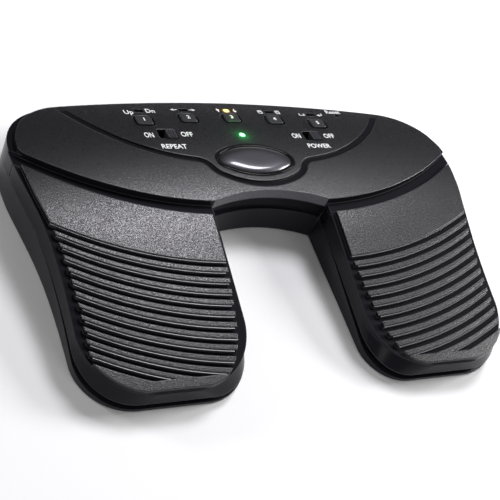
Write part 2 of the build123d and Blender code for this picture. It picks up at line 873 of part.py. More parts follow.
mode_buttons = []
for x, y in button_places:
    top = panel_spot(x, y).offset(button_proud)
    with BuildPart() as button:
        with BuildSketch(top):
            RectangleRounded(button_width, button_length, button_corner)
        extrude(amount=-button_height)
        rim_edges = button.faces().filter_by(GeomType.PLANE).sort_by(Axis.Z)[-1].edges()
        chamfer(rim_edges, button_chamfer)
        with BuildSketch(top.offset(-button_height)):
            Rectangle(button_width + 2 * button_flange, button_length + 2 * button_flange)
        extrude(amount=button_flange_height)
    mode_buttons.append(button)

mode_lights = []
for x, y in light_places:
    with BuildPart() as light:
        with BuildSketch(panel_spot(x, y)):
            Rectangle(light_width, light_length)
        extrude(amount=-board_depth - board_point(x, y).Z + seat_gap)
    mode_lights.append(light)

with BuildPart() as power_light:
    with BuildSketch(panel_spot(0, power_light_y)):
        Circle(power_light_radius)
    extrude(amount=-board_depth - board_point(0, power_light_y).Z + seat_gap)

switch_knobs = []
for x in (-knob_x, knob_x):
    spot = board_point(x, knob_y)
    knob_height = board_depth + spot.Z - slide_body_height + knob_proud - seat_gap
    with BuildPart() as knob:
        with BuildSketch(panel_spot(x + knob_travel / 2, knob_y).offset(knob_proud)):
            RectangleRounded(knob_width, knob_length, knob_corner)
        extrude(amount=-knob_height)
        with BuildSketch(panel_spot(x + knob_travel / 2, knob_y).offset(knob_proud)):
            with GridLocations(knob_width / knob_ridge_count, 0, knob_ridge_count - 1, 1):
                Rectangle(knob_ridge_width, knob_length)
        extrude(amount=-knob_ridge_depth, mode=Mode.SUBTRACT)
    switch_knobs.append(knob)

reset_spot = board_point(*reset_place)
reset_length = board_depth + reset_spot.Z - reset_pin_depth - tact_height - reset_gap
with BuildPart() as reset_button:
    with BuildSketch(panel_spot(*reset_place).offset(-reset_pin_depth)):
        Circle(reset_pin_radius)
    extrude(amount=-reset_length)
    with BuildSketch(panel_spot(*reset_place).offset(-reset_pin_depth - reset_length)):
        Circle(reset_collar_radius)
    extrude(amount=button_flange_height)

# Things standing in the tray
with BuildPart() as battery:
    with BuildSketch(Plane.XY.offset(floor_top + cell_stand)):
        with Locations((0, battery_y)):
            RectangleRounded(battery_width, battery_length, battery_corner)
    extrude(amount=battery_height)

with BuildPart() as charging_socket:
    socket_middle = floor_top + socket_stand + socket_height / 2
    with BuildSketch(Plane.XZ.offset(-rear_y + socket_recess)):
        with Locations((0, socket_middle)):
            SlotOverall(socket_width, socket_height)
    extrude(amount=socket_length)
    with BuildSketch(Plane.XZ.offset(-rear_y + socket_recess)):
        with Locations((0, socket_middle)):
            SlotOverall(socket_width - 2 * socket_wall, socket_height - 2 * socket_wall)
            Rectangle(socket_width / 2, socket_tongue, mode=Mode.SUBTRACT)
    extrude(amount=socket_length - wall, mode=Mode.SUBTRACT)

with BuildPart() as base_screws:
    with BuildSketch(Plane.XY.offset(foot_proud)):
        with Locations(*screw_places):
            Circle(screw_head_radius)
    extrude(amount=screw_head_height - seat_gap)
    with BuildSketch(Plane.XY.offset(foot_proud)):
        with Locations(*screw_places):
            Circle(screw_radius)
    extrude(amount=screw_length)

with BuildPart() as rubber_feet:
    with BuildSketch():
        with Locations(*foot_places):
            Circle(foot_radius)
    extrude(amount=foot_proud + foot_recess - seat_gap)

# Hinge pin, return buffer and switch of the right pedal
with BuildPart() as right_hinge_pin:
    pin_start = post_inner_x - lug_width / 2 - pin_overhang
    pin_end = post_outer_x + lug_width / 2 + pin_overhang
    with BuildSketch(Plane.YZ.offset(pin_start)):
        with Locations((hinge_y, hinge_height)):
            Circle(hinge_pin_radius)
    extrude(amount=pin_end - pin_start)

with BuildPart() as right_return_buffer:
    with Locations((buffer_x, buffer_y, floor_top)):
        Cone(
            buffer_radius, buffer_neck_radius, buffer_height, align=(Align.CENTER, Align.CENTER, Align.MIN)
        )

with BuildPart() as right_switch_board:
    with BuildSketch(Plane.XY.offset(switch_board_height + seat_gap)):
        with Locations((switch_x, switch_y)):
            Rectangle(switch_board_length, switch_board_width)
    extrude(amount=board_thickness - 2 * seat_gap)

with BuildPart() as right_pedal_switch:
    with BuildSketch(Plane.XY.offset(switch_board_height + board_thickness)):
        with Locations((switch_x, switch_y)):
            Rectangle(switch_body_size, switch_body_size)
    extrude(amount=switch_body_height)
    with BuildSketch(Plane.XY.offset(plunger_top - plunger_height - plunger_well)):
        with Locations((switch_x, switch_y)):
            Circle(plunger_radius + running_clearance)
    extrude(amount=plunger_height, mode=Mode.SUBTRACT)

with BuildPart() as right_switch_plunger:
    with BuildSketch(Plane.XY.offset(plunger_top - plunger_height)):
        with Locations((switch_x, switch_y)):
            Circle(plunger_radius)
    extrude(amount=plunger_height)

# Left side pieces are the right ones mirrored
pieces = {
    "base_housing": base_housing,
    "rear_cover": rear_cover,
    "right_pedal": right_pedal,
    "badge_ring": badge_ring,
    "badge_plate": badge_plate,
    "main_board": main_board,
    "board_components": board_components,
    "board_screws": board_screws,
    "panel_switches": panel_switches,
    "slide_switches": slide_switches,
    "power_light": power_light,
    "repeat_switch_knob": switch_knobs[0],
    "power_switch_knob": switch_knobs[1],
    "reset_button": reset_button,
    "battery": battery,
    "charging_socket": charging_socket,
    "base_screws": base_screws,
    "rubber_feet": rubber_feet,
    "right_hinge_pin": right_hinge_pin,
    "right_return_buffer": right_return_buffer,
    "right_switch_board": right_switch_board,
    "right_pedal_switch": right_pedal_switch,
    "right_switch_plunger": right_switch_plunger,
}
for number in range(len(button_places)):
    pieces[f"mode_button_{number + 1}"] = mode_buttons[number]
    pieces[f"mode_light_{number + 1}"] = mode_lights[number]
for name in list(pieces):
    if name.startswith("right_"):
        with BuildPart() as left_piece:
            add(pieces[name].part.mirror(Plane.YZ))
        pieces[name.replace("right_", "left_")] = left_piece
for name, piece in pieces.items():
    piece.part.label = name
    export_step(piece.part, "parts/" + name + ".step")
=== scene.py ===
import json
import math

import bmesh
import bpy
from mathutils import Matrix, Vector
from mathutils.bvhtree import BVHTree


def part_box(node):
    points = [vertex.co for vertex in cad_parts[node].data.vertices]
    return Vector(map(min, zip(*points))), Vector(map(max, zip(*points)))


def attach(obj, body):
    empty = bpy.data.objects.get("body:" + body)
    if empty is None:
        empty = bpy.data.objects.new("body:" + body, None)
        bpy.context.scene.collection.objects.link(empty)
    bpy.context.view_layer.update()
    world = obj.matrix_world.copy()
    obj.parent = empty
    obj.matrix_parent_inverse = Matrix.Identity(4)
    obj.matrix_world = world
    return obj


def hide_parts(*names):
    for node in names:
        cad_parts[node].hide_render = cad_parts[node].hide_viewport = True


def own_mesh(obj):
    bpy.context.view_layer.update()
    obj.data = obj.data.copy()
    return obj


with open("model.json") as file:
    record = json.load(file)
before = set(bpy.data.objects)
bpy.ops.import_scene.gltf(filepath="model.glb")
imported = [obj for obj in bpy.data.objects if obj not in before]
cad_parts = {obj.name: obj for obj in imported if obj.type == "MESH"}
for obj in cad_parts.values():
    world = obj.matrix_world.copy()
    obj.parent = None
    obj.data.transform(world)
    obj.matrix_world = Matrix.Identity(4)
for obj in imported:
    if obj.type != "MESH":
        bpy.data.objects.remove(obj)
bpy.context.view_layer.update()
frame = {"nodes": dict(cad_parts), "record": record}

# Sizes are in metres. Names that end in _mm or _MM hold millimetres, which MM turns into metres.
MM = 0.001

# The cover's arched top, the same arc that the solid has: height at the crown, its y, its radius.
CROWN_HEIGHT = 0.0284
CROWN_Y = 0.013
ARCH_RADIUS = 0.215

# The tread: height at its front edge, slope, where its rear part bends down, and depth of its grooves.
FRONT_Y = -0.0786
TREAD_FRONT = 0.01465
TREAD_SLOPE = math.tan(math.radians(8.66))
TREAD_BEND_Y = -0.010
TREAD_REAR_RADIUS = 0.172
TREAD_DROP = 0.0022

# The ribs of the tread: arcs of one radius, each a pitch further forward.
RIB_RADIUS = 0.172
RIB_MIDDLE_X = 0.023
RIB_FIRST_Y = -0.0229
RIB_PITCH = 0.0052
RIB_COUNT = 12

# The ledge along the front foot of each rib, drawn in steps outwards from the notch.
LEDGE_WIDTH = 0.0007
LEDGE_DROP = 0.0004
LEDGE_START_X = 0.031
LEDGE_STEP = 0.0015
LEDGE_STEPS = 53

# The lip of the cover over the notch: how far back and down it goes.
LIP_REAR_Y = 0.0145
LIP_HEIGHT = 0.0052

# Where the arch's wall meets the straight side of the notch, and the bead in that corner.
ARCH_CORNER_X = 0.0305
ARCH_CORNER_Y = 0.0070
BEAD_RADIUS = 0.0007
BEAD_FOOT = 0.001
BEAD_TOP = 0.0215
BEAD_SIDES = 20

# The badge's oval of four arcs, and the heights of its plate over and under the cover's top.
BADGE_Y = 0.03278
BADGE_HALF_LENGTH = 0.01915
BADGE_HALF_WIDTH = 0.00915
BADGE_END_RADIUS = 0.00475
BADGE_EDGE_HEIGHT = -0.0002
BADGE_CROWN_HEIGHT = 0.0012
BADGE_FOOT_DEPTH = 0.0013
BADGE_ARC_POINTS = 24

# Rings of the domed plate, as shares of the way to its edge, and the power that keeps its middle flat.
DOME_RINGS = (0.25, 0.45, 0.6, 0.7, 0.77, 0.83, 0.88, 0.92, 0.955, 0.98, 1.0)
DOME_POWER = 6

# The hinge pins' bores in the tray's walls, and the walls round them.
HINGE_Y = 0.004
HINGE_Z = 0.015
PLUG_RADIUS = 0.0015
PLUG_STEPS = 12
WALL = 0.0022
WALL_TOP = 0.01495
WALL_TOP_SLOPE = 0.155
OUTER_WALL_X = 0.11047
OUTER_WALL_LEAN = 0.18
NOTCH_WALL_X = 0.03042

# From the rear edge of a piece's box to the middle of its top: these pieces lean back with the cover.
BUTTON_REAR_REACH = 0.00425
WINDOW_REAR_REACH = 0.00127
POWER_LIGHT_REAR_REACH = 0.0015

# Printing: the height of capitals against the font's size, the steps of a letter's curves, the ink's
# thickness and how far it spreads, how high words and marks lie, and the width of a mark's stroke. A
# button's face stands proud of the cover.
CAPITAL_SHARE = 0.7
LETTER_STEPS = 4
INK_THICKNESS = 0.00002
INK_SPREAD = 0.00006
WORD_LIFT = 0.00004
MARK_LIFT = 0.00006
STROKE_WIDTH = 0.00048
BUTTON_PROUD = 0.0006
NUMERAL_HEIGHT = 0.0026

# Printed words: name, word, x, y, height of the capitals, width.
WORDS = (
    ("on_of_repeat", "ON", -0.0488, 0.0495, 0.0036, 0.0046),
    ("off_of_repeat", "OFF", -0.0294, 0.0504, 0.0034, 0.0060),
    ("on_of_power", "ON", 0.0300, 0.0503, 0.0036, 0.0047),
    ("off_of_power", "OFF", 0.0490, 0.0505, 0.0034, 0.0060),
    ("word_repeat", "REPEAT", -0.0390, 0.0414, 0.0031, 0.0126),
    ("word_power", "POWER", 0.0394, 0.0426, 0.0031, 0.0128),
    ("word_reset", "Reset", 0.0622, 0.0722, 0.0032, 0.0086),
    ("word_up", "Up", -0.0530, 0.0678, 0.0034, 0.0046),
    ("word_down", "Dn", -0.0415, 0.0693, 0.0034, 0.0046),
)

# Light that the two lit pipes spill on the cover: how high it starts and how wide it is.
SPILL_HEIGHT = 0.0022
SPILL_RADIUS = 0.0006

# The floor reaches past every view of it.
FLOOR_REACH = 1.1

# The room that the plastic mirrors is a dim grey, and the backdrop that the camera sees is white.
ROOM_STRENGTH = 0.08
BACKDROP_STRENGTH = 1.0

# The camera, fitted to the photo: where it stands, what it looks at, how far it is rolled, its lens.
EYE_PLACE = (-0.24573, -0.27368, 0.36928)
EYE_TARGET = (-0.00373, 0.00007, 0.0)
EYE_ROLL = math.radians(29.71)
EYE_LENS_MM = 79.2
EYE_SENSOR_MM = 36
EYE_NEAR = 0.01


def top_spot(node, rear_reach):
    """The middle of the top of a piece that leans with the cover, from the rear edge of its box."""
    low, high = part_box(node)
    return ((low.x + high.x) / 2, high.y - rear_reach)


BUTTONS = [top_spot(f"mode_button_{number}", BUTTON_REAR_REACH) for number in range(1, 6)]
WINDOWS = [top_spot(f"mode_light_{number}", WINDOW_REAR_REACH) for number in range(1, 6)]
POWER_LIGHT = top_spot("power_light", POWER_LIGHT_REAR_REACH)


def cover_height(y):
    """Height of the cover's arched top at y."""
    return CROWN_HEIGHT - ARCH_RADIUS + math.sqrt(ARCH_RADIUS**2 - (y - CROWN_Y) ** 2)


def on_top(x, y):
    """The point of the cover's top over (x, y)."""
    return (x, y, cover_height(y))


def tread_height(y):
    """Height of the tread's top at y."""
    fall = max(y - TREAD_BEND_Y, 0.0) ** 2 / (2 * TREAD_REAR_RADIUS)
    return TREAD_FRONT + (y - FRONT_Y) * TREAD_SLOPE - fall


def linear(code):
    """An sRGB colour code as the linear colour that shaders take."""
    parts = [int(code[i : i + 2], 16) / 255 for i in (1, 3, 5)]
    return tuple(c / 12.92 if c <= 0.04045 else ((c + 0.055) / 1.055) ** 2.4 for c in parts) + (1.0,)


def add_node(tree, kind, inputs=(), **settings):
    """Adds one shader node with its settings. Its inputs come by name or in the node's own order, each
    as a fixed value or as another node's output, which is linked. Gives back the node's outputs."""
    made = tree.nodes.new(kind)
    for setting, value in settings.items():
        setattr(made, setting, value)
    for socket, value in inputs.items() if isinstance(inputs, dict) else enumerate(inputs):
        if isinstance(value, bpy.types.NodeSocket):
            tree.links.new(value, made.inputs[socket])
        else:
            made.inputs[socket].default_value = value
    return made.outputs


def new_material(name):
    """A material without nodes, and its tree."""
    made = bpy.data.materials.new(name)
    made.use_nodes = True
    made.node_tree.nodes.clear()
    return made, made.node_tree


# Grain. What a mould leaves is 0.05 to 0.2 mm wide, too fine to show, so each grain_mm is drawn coarser.
# The span is the part of its noise that holds nearly all of the surface, from the valleys to the peaks.
GRAIN_DETAIL = 2.0
GRAIN_SHARPNESS = 0.6
GRAIN_SPAN = (0.4, 0.6)
EDGE_SAMPLES = 8


def moulded_normal(tree, place, grain_mm, grain_height_mm, edge_mm):
    """The surface as it leaves the mould: its edges are rounded by edge_mm, and over them lies the
    grain that was etched into the mould. Gives the grain's noise, the normal of the rounded edges, and
    the normal with the grain."""
    grain = add_node(
        tree,
        "ShaderNodeTexNoise",
        {
            "Vector": place,
            "Scale": 1 / (grain_mm * MM),
            "Detail": GRAIN_DETAIL,
            "Roughness": GRAIN_SHARPNESS,
        },
    )["Fac"]
    edge = add_node(tree, "ShaderNodeBevel", {"Radius": edge_mm * MM}, samples=EDGE_SAMPLES)["Normal"]
    grained = add_node(
        tree,
        "ShaderNodeBump",
        {"Strength": 1.0, "Distance": grain_height_mm * MM, "Height": grain, "Normal": edge},
    )["Normal"]
    return grain, edge, grained


# Rubbed patches on moulded plastic, as wide as a fingertip, and how much they change its roughness.
RUB_PATCH_MM = 22.2
RUB_DETAIL = 6.0
RUB_SPAN = (0.3, 0.7)
RUB_CHANGE = 0.05

# The roughness of the polish over a plastic that has one.
POLISH_ROUGHNESS = 0.05


def plastic(name, colour, roughness, grain_mm, grain_height_mm, edge_mm=0.3, specular=0.5, coat=0.0):
    """Moulded plastic or rubber: one colour, a fine grain, rounded edges that catch the light, and a
    roughness that varies where hands and shoes have rubbed it. A specular of 0.5 is the IOR of 1.5 that
    such materials have."""
    made, tree = new_material(name)
    place = add_node(tree, "ShaderNodeTexCoord")["Object"]
    grained = moulded_normal(tree, place, grain_mm, grain_height_mm, edge_mm)[2]
    patches = add_node(
        tree,
        "ShaderNodeTexNoise",
        {"Vector": place, "Scale": 1 / (RUB_PATCH_MM * MM), "Detail": RUB_DETAIL},
    )["Fac"]
    rubbed = add_node(
        tree, "ShaderNodeMapRange", (patches, *RUB_SPAN, roughness - RUB_CHANGE, roughness + RUB_CHANGE)
    )["Result"]
    shader = add_node(
        tree,
        "ShaderNodeBsdfPrincipled",
        {
            "Base Color": linear(colour),
            "Roughness": rubbed,
            "Normal": grained,
            "Specular IOR Level": specular,
            "Coat Weight": coat,
            "Coat Roughness": POLISH_ROUGHNESS,
        },
    )["BSDF"]
    add_node(tree, "ShaderNodeOutputMaterial", (shader,))
    return made


# Etched tops: how much rougher a grain's valley is and how much smoother its rubbed peak, and the share
# of the shine that each of them has.
VALLEY_ROUGHER = 0.1
PEAK_SMOOTHER = 0.07
VALLEY_SHINE = 0.65
PEAK_SHINE = 1.35

# Worn places, also painted highlights on rounded edges and painted light on the lip's front: their
# colour, how far the rounded normal has turned from the flat one (as a cosine) where the lightening starts
# and where it is full, how much lighter an edge gets, and how far back shoes reach.
WEAR_AND_HIGHLIGHT_COLOUR = "#5e5d63"
WEAR_SPAN = (0.985, 0.86)
WEAR_MOST = 0.5
RUBBED_TO_Y = 0.040

# How far up a face points: up to the first value it is a wall, and from the second on it is a flat. On
# the lip, what points up less than LIP_FACING is its front.
WALL_TO_FLAT = (0.75, 0.95)
LIP_FACING = 0.5

# Smooth mould beside the etching: its colour, how much lighter its upright walls are painted as painted
# light, and from wall to flat its roughness and its specular level, which is low because narrow gaps
# mirror little of the room.
SMOOTH_COLOUR = "#111016"
PAINTED_WALL_LIGHT_SHARE = 0.05
SMOOTH_ROUGHNESS = (0.24, 0.6)
SMOOTH_SPECULAR = (0.08, 0.05)


def facing_up(tree):
    """How far a face points up: 1 for a flat top, 0 for an upright wall."""
    normal = add_node(tree, "ShaderNodeTexCoord")["Normal"]
    return add_node(tree, "ShaderNodeSeparateXYZ", (normal,))["Z"]


def worn_edges(tree, edge):
    """How far a point lies on a rounded edge, painted lighter as an edge highlight and shoe wear: 0 to
    WEAR_MOST.
    """
    flat = add_node(tree, "ShaderNodeNewGeometry")["Normal"]
    turned = add_node(tree, "ShaderNodeVectorMath", (edge, flat), operation="DOT_PRODUCT")["Value"]
    return add_node(tree, "ShaderNodeMapRange", (turned, *WEAR_SPAN, 0.0, WEAR_MOST))["Result"]


def cover_top(tree, x, y):
    """Height of the cover's arch at y, taken lower over the notch, whose lip is etched all the way down,
    and how far a point lies on that lip's front, which is painted lighter as painted light: 0 or 1."""
    run = add_node(tree, "ShaderNodeMath", (y, CROWN_Y), operation="SUBTRACT")["Value"]
    square = add_node(tree, "ShaderNodeMath", (run, run), operation="MULTIPLY")["Value"]
    rise_square = add_node(tree, "ShaderNodeMath", (ARCH_RADIUS**2, square), operation="SUBTRACT")["Value"]
    rise = add_node(tree, "ShaderNodeMath", (rise_square,), operation="SQRT")["Value"]
    arch = add_node(tree, "ShaderNodeMath", (rise, CROWN_HEIGHT - ARCH_RADIUS), operation="ADD")["Value"]

    off_middle = add_node(tree, "ShaderNodeMath", (x,), operation="ABSOLUTE")["Value"]
    notch_side = ARCH_CORNER_X - BEAD_RADIUS
    over_notch = add_node(tree, "ShaderNodeMath", (off_middle, notch_side), operation="LESS_THAN")["Value"]
    in_front = add_node(tree, "ShaderNodeMath", (y, LIP_REAR_Y), operation="LESS_THAN")["Value"]
    on_lip = add_node(tree, "ShaderNodeMath", (over_notch, in_front), operation="MULTIPLY")["Value"]
    drop = (on_lip, -LIP_HEIGHT, arch)
    lowered = add_node(tree, "ShaderNodeMath", drop, operation="MULTIPLY_ADD")["Value"]

    facing = facing_up(tree)
    upright = add_node(tree, "ShaderNodeMath", (facing, LIP_FACING), operation="LESS_THAN")["Value"]
    # The lip's front is painted lighter, as painted light.
    painted_lip_front = add_node(tree, "ShaderNodeMath", (on_lip, upright), operation="MULTIPLY")["Value"]
    return lowered, painted_lip_front


def tread_top(tree, x, y):
    """Height of the tread at y, a slope that bends down over its rear part. It has no lip."""
    from_front = add_node(tree, "ShaderNodeMath", (y, FRONT_Y), operation="SUBTRACT")["Value"]
    climb = (from_front, TREAD_SLOPE, TREAD_FRONT)
    slope = add_node(tree, "ShaderNodeMath", climb, operation="MULTIPLY_ADD")["Value"]
    behind = add_node(tree, "ShaderNodeMath", (y, TREAD_BEND_Y), operation="SUBTRACT")["Value"]
    past = add_node(tree, "ShaderNodeMath", (behind, 0.0), operation="MAXIMUM")["Value"]
    square = add_node(tree, "ShaderNodeMath", (past, past), operation="MULTIPLY")["Value"]
    fall = add_node(tree, "ShaderNodeMath", (square, 2 * TREAD_REAR_RADIUS), operation="DIVIDE")["Value"]
    return add_node(tree, "ShaderNodeMath", (slope, fall), operation="SUBTRACT")["Value"], None


def worn_colour(tree, share, colour):
    """A plastic's colour, blended towards the lighter colour of wear and painted light by a share from 0
    to 1.
    """
    # For colours, the Mix node takes its inputs 6 and 7 and gives its output 2.
    colours = {0: share, 6: linear(colour), 7: linear(WEAR_AND_HIGHLIGHT_COLOUR)}
    return add_node(tree, "ShaderNodeMix", colours, data_type="RGBA")[2]


def etched_shader(tree, colour, roughness, shine, grain, grained, wear_and_highlight):
    """The etched top: dull in the grain's valleys, smoother and brighter on its rubbed peaks."""
    rubbed = (grain, *GRAIN_SPAN, roughness + VALLEY_ROUGHER, roughness - PEAK_SMOOTHER)
    sparkling = (grain, *GRAIN_SPAN, VALLEY_SHINE * shine, PEAK_SHINE * shine)
    return add_node(
        tree,
        "ShaderNodeBsdfPrincipled",
        {
            "Base Color": worn_colour(tree, wear_and_highlight, colour),
            "Roughness": add_node(tree, "ShaderNodeMapRange", rubbed)["Result"],
            "Specular IOR Level": add_node(tree, "ShaderNodeMapRange", sparkling)["Result"],
            "Normal": grained,
        },
    )["BSDF"]


def smooth_shader(tree, edge, wear_and_highlight):
    """The mould beside the etching: satin upright walls, painted a little lighter as painted light, and
    matt flats beside the top and its ribs.
    """
    facing = facing_up(tree)
    roughness = add_node(tree, "ShaderNodeMapRange", (facing, *WALL_TO_FLAT, *SMOOTH_ROUGHNESS))["Result"]
    specular = add_node(tree, "ShaderNodeMapRange", (facing, *WALL_TO_FLAT, *SMOOTH_SPECULAR))["Result"]
    # Upright walls are painted a little lighter than the flats: painted light.
    wall = add_node(tree, "ShaderNodeMapRange", (facing, *WALL_TO_FLAT, PAINTED_WALL_LIGHT_SHARE, 0.0))["Result"]
    lighter = add_node(tree, "ShaderNodeMath", (wear_and_highlight, wall), operation="MAXIMUM")["Value"]
    return add_node(
        tree,
        "ShaderNodeBsdfPrincipled",
        {
            "Base Color": worn_colour(tree, lighter, SMOOTH_COLOUR),
            "Roughness": roughness,
            "Specular IOR Level": specular,
            "Normal": edge,
        },
    )["BSDF"]


def etched_plastic(name, colour, roughness, shine, grain_mm, grain_height_mm, edge_mm, top_of, etched_mm):
    """Moulded plastic whose top is etched with a coarse grain down to etched_mm below the height that
    top_of gives. Lower than that the mould is smooth."""
    made, tree = new_material(name)
    place = add_node(tree, "ShaderNodeTexCoord")["Object"]
    x, y, z = add_node(tree, "ShaderNodeSeparateXYZ", (place,))
    grain, edge, grained = moulded_normal(tree, place, grain_mm, grain_height_mm, edge_mm)

    height, lip = top_of(tree, x, y)
    depth = add_node(tree, "ShaderNodeMath", (height, z), operation="SUBTRACT")["Value"]
    near_top = add_node(tree, "ShaderNodeMath", (depth, etched_mm * MM), operation="LESS_THAN")["Value"]

    # Rounded edges where shoes reach are painted lighter: painted highlights, and wear.
    reached = add_node(tree, "ShaderNodeMath", (y, RUBBED_TO_Y), operation="LESS_THAN")["Value"]
    rounded = worn_edges(tree, edge)
    wear_and_highlight = add_node(tree, "ShaderNodeMath", (rounded, reached), operation="MULTIPLY")["Value"]
    # The lip's front is painted lighter all the way down: painted light.
    if lip is not None:
        painted_lip_light = add_node(tree, "ShaderNodeMath", (lip, near_top), operation="MULTIPLY")["Value"]
        wear_and_highlight = add_node(tree, "ShaderNodeMath", (wear_and_highlight, painted_lip_light), operation="MAXIMUM")["Value"]

    etched = etched_shader(tree, colour, roughness, shine, grain, grained, wear_and_highlight)
    smooth = smooth_shader(tree, edge, wear_and_highlight)
    shader = add_node(tree, "ShaderNodeMixShader", (near_top, smooth, etched))["Shader"]
    add_node(tree, "ShaderNodeOutputMaterial", (shader,))
    return made


# Lit pipes: the smoked plastic's own colour and roughness, and the glow that is left at its dark end.
PIPE_COLOUR = "#1c1a16"
PIPE_ROUGHNESS = 0.2
PIPE_END_GLOW = 0.02


def glowing(name, colour, strength, middle, reach):
    """A smoked light pipe with a lamp under its middle: brightest there and dark towards its ends."""
    made, tree = new_material(name)
    place = add_node(tree, "ShaderNodeTexCoord")["Object"]
    away = add_node(tree, "ShaderNodeVectorMath", (place, middle), operation="DISTANCE")["Value"]
    glow = add_node(
        tree,
        "ShaderNodeMapRange",
        (away, 0.0, reach, strength, PIPE_END_GLOW),
        interpolation_type="SMOOTHSTEP",
    )["Result"]
    shader = add_node(
        tree,
        "ShaderNodeBsdfPrincipled",
        {
            "Base Color": linear(PIPE_COLOUR),
            "Roughness": PIPE_ROUGHNESS,
            "Emission Color": linear(colour),
            "Emission Strength": glow,
        },
    )["BSDF"]
    add_node(tree, "ShaderNodeOutputMaterial", (shader,))
    return made


# Scratches in metal, drawn two thirds of a millimetre apart because real ones are too fine to show.
SCRATCH_MM = 2 / 3
SCRATCH_DETAIL = 4.0
SCRATCH_CHANGE = 0.08

# The roughness of the cast clear resin over a metal that has it.
RESIN_ROUGHNESS = 0.12


def metal(name, colour, roughness, coat=0.0):
    """Plated or rolled metal with fine scratches in its roughness, under clear resin if it has a coat."""
    made, tree = new_material(name)
    place = add_node(tree, "ShaderNodeTexCoord")["Object"]
    marks = add_node(
        tree,
        "ShaderNodeTexNoise",
        {"Vector": place, "Scale": 1 / (SCRATCH_MM * MM), "Detail": SCRATCH_DETAIL},
    )["Fac"]
    scratched = add_node(
        tree,
        "ShaderNodeMapRange",
        (marks, 0.0, 1.0, roughness - SCRATCH_CHANGE, roughness + SCRATCH_CHANGE),
    )["Result"]
    shader = add_node(
        tree,
        "ShaderNodeBsdfPrincipled",
        {
            "Base Color": linear(colour),
            "Metallic": 1.0,
            "Roughness": scratched,
            "Coat Weight": coat,
            "Coat Roughness": RESIN_ROUGHNESS,
        },
    )["BSDF"]
    add_node(tree, "ShaderNodeOutputMaterial", (shader,))
    return made


# ABS moulded in a tool whose top was etched: nearly black with a slight blue, and a soft sparkle where
# the grain's peaks catch the light. The groove and the upright walls are smooth and darker. The real
# grain is about 0.15 mm wide, too fine to show, and is drawn half a millimetre wide.
COVER_ABS = etched_plastic(
    "etched_abs_cover",
    colour="#0c0b10",
    roughness=0.33,
    shine=0.55,
    grain_mm=0.5,
    grain_height_mm=0.055,
    edge_mm=0.8,
    top_of=cover_top,
    etched_mm=0.18,
)

# The same etched ABS under the feet, scuffed a little lighter: the ribs stand out grey against the dark
# grooves between them. Its grain is drawn coarser than it is, as the cover's.
PEDAL_ABS = etched_plastic(
    "etched_abs_tread",
    colour="#100f14",
    roughness=0.34,
    shine=0.44,
    grain_mm=0.52,
    grain_height_mm=0.065,
    edge_mm=0.7,
    top_of=tread_top,
    etched_mm=0.6,
)

# ABS moulded in a satin tool: plain dark walls with a weak, wide sheen and softly lit edges.
TRAY_ABS = plastic(
    "satin_abs_tray", "#1a1920", 0.32, grain_mm=0.5, grain_height_mm=0.006, edge_mm=0.4, specular=0.25
)

# The tread's moulded ABS on the ledge at the foot of each rib, painted lighter as a painted highlight:
# a thin light line in each groove.
LEDGE_HIGHLIGHT_ABS = plastic("abs_ledge_painted_highlight", "#3c3b41", 0.3, grain_mm=0.5, grain_height_mm=0.01, edge_mm=0.2)

# Silicone rubber moulded in a matt tool: an even black, with nearly sharp edges and no reflection.
BUTTON_RUBBER = plastic(
    "moulded_silicone_button", "#1a1a1d", 0.5, grain_mm=0.3, grain_height_mm=0.008, edge_mm=0.12
)

# Black moulded nylon, polished by fingertips: greyer than the cover, with light lines on its ridges.
KNOB_NYLON = plastic("black_nylon_knob", "#3a3940", 0.3, grain_mm=0.3, grain_height_mm=0.008, edge_mm=0.14)

# ABS moulded in a polished tool: a frame that is almost black, with narrow bright reflections.
RIM_ABS = plastic("polished_abs_rim", "#070708", 0.15, grain_mm=0.5, grain_height_mm=0.0, coat=0.3)

# Dark rolled foil under cast clear resin: a broad soft sheen, and on it the resin's sharper highlight.
BADGE_FOIL = metal("clear_coated_dark_foil", "#454549", 0.4, coat=1.0)

# Solder mask, a green lacquer screened on a woven glass board: smooth, with a faint weave in its gloss.
BOARD_LACQUER = plastic("green_solder_mask", "#0f4a24", 0.35, grain_mm=0.8, grain_height_mm=0.01)

# Epoxy moulded round chips and switches: black and dull, with a fine sandy grain.
CHIP_EPOXY = plastic("moulded_epoxy", "#0b0b0c", 0.5, grain_mm=0.3, grain_height_mm=0.01)

# Rolled aluminium foil round the battery: pale grey with a soft gleam.
BATTERY_FOIL = metal("rolled_aluminium_foil", "#a8acb2", 0.35)

# Steel that was zinc plated in a drum: bright grey, its reflections blurred by fine scratches.
ZINC_STEEL = metal("zinc_plated_steel", "#b9bbbd", 0.3)

# Moulded rubber: dark and dull, so that the feet show hardly any light of their own.
FOOT_RUBBER = plastic("moulded_foot_rubber", "#161617", 0.8, grain_mm=0.4, grain_height_mm=0.03)

# Moulded silicone without black in it: pale grey and waxy.
BUFFER_SILICONE = plastic("moulded_silicone_buffer", "#8f8f8a", 0.5, grain_mm=0.6, grain_height_mm=0.01)

# Moulded nylon in its natural colour: off-white with a soft sheen.
PLUNGER_NYLON = plastic("moulded_natural_nylon", "#cfcfc4", 0.45, grain_mm=0.4, grain_height_mm=0.01)

# Smoked acrylic, moulded and polished, with its lamp off: a small window, blacker than the cover.
WINDOW_ACRYLIC = plastic(
    "smoked_acrylic_window", "#060607", 0.2, grain_mm=0.5, grain_height_mm=0.0, edge_mm=0.05, specular=0.1
)

# The same smoked acrylic with a lamp under it: amber, brightest in the middle and dark at the ends.
AMBER_MIDDLE = on_top(*WINDOWS[2])
AMBER_ACRYLIC = glowing("amber_lit_acrylic", "#ffdc70", strength=6.0, middle=AMBER_MIDDLE, reach=0.0021)

